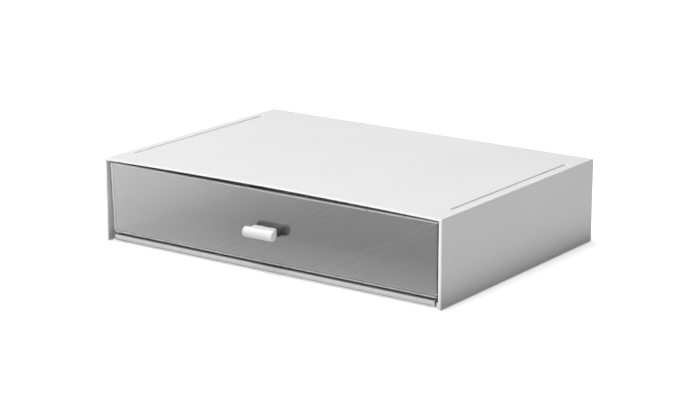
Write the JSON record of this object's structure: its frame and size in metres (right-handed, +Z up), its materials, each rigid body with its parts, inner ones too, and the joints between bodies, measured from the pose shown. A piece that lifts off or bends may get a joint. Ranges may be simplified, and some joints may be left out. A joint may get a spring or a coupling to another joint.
{
  "type": "desktop drawer box",
  "caption": "Flat desktop drawer box: a stackable white plastic cabinet with a clear smoky drawer that slides out by a small bar handle.",
  "frame": {"origin": "on the desk plane, at the middle of the box that encloses the whole object with the drawer shut: mid-width, and midway between the front of the handle and the back of the cabinet", "axes": "+X to the right as seen from the front, +Y from the front to the back, +Z up"},
  "size_m": [0.33, 0.2405, 0.0729],
  "materials": {
    "cabinet_white": "smooth satin moulded plastic",
    "smoky_clear": "polished, see-through smoky grey",
    "handle_white": "smooth satin moulded plastic",
    "soft_strip": "matt soft rubber",
    "screw_steel": "plated",
    "washer_nylon": "natural nylon"
  },
  "bodies": {
    "cabinet": {"cabinet_shell": "cabinet_white", "base_plate": "cabinet_white", "strip_left": "soft_strip", "strip_right": "soft_strip"},
    "drawer": {"drawer_tray": "smoky_clear", "handle": "handle_white", "handle_screws": "screw_steel", "handle_washers": "washer_nylon"}
  },
  "joints": [
    {"name": "drawer_slide", "type": "slide", "parent": "cabinet", "child": "drawer", "axis": [0, -1, 0], "range_m": [0, 0.17]}
  ]
}
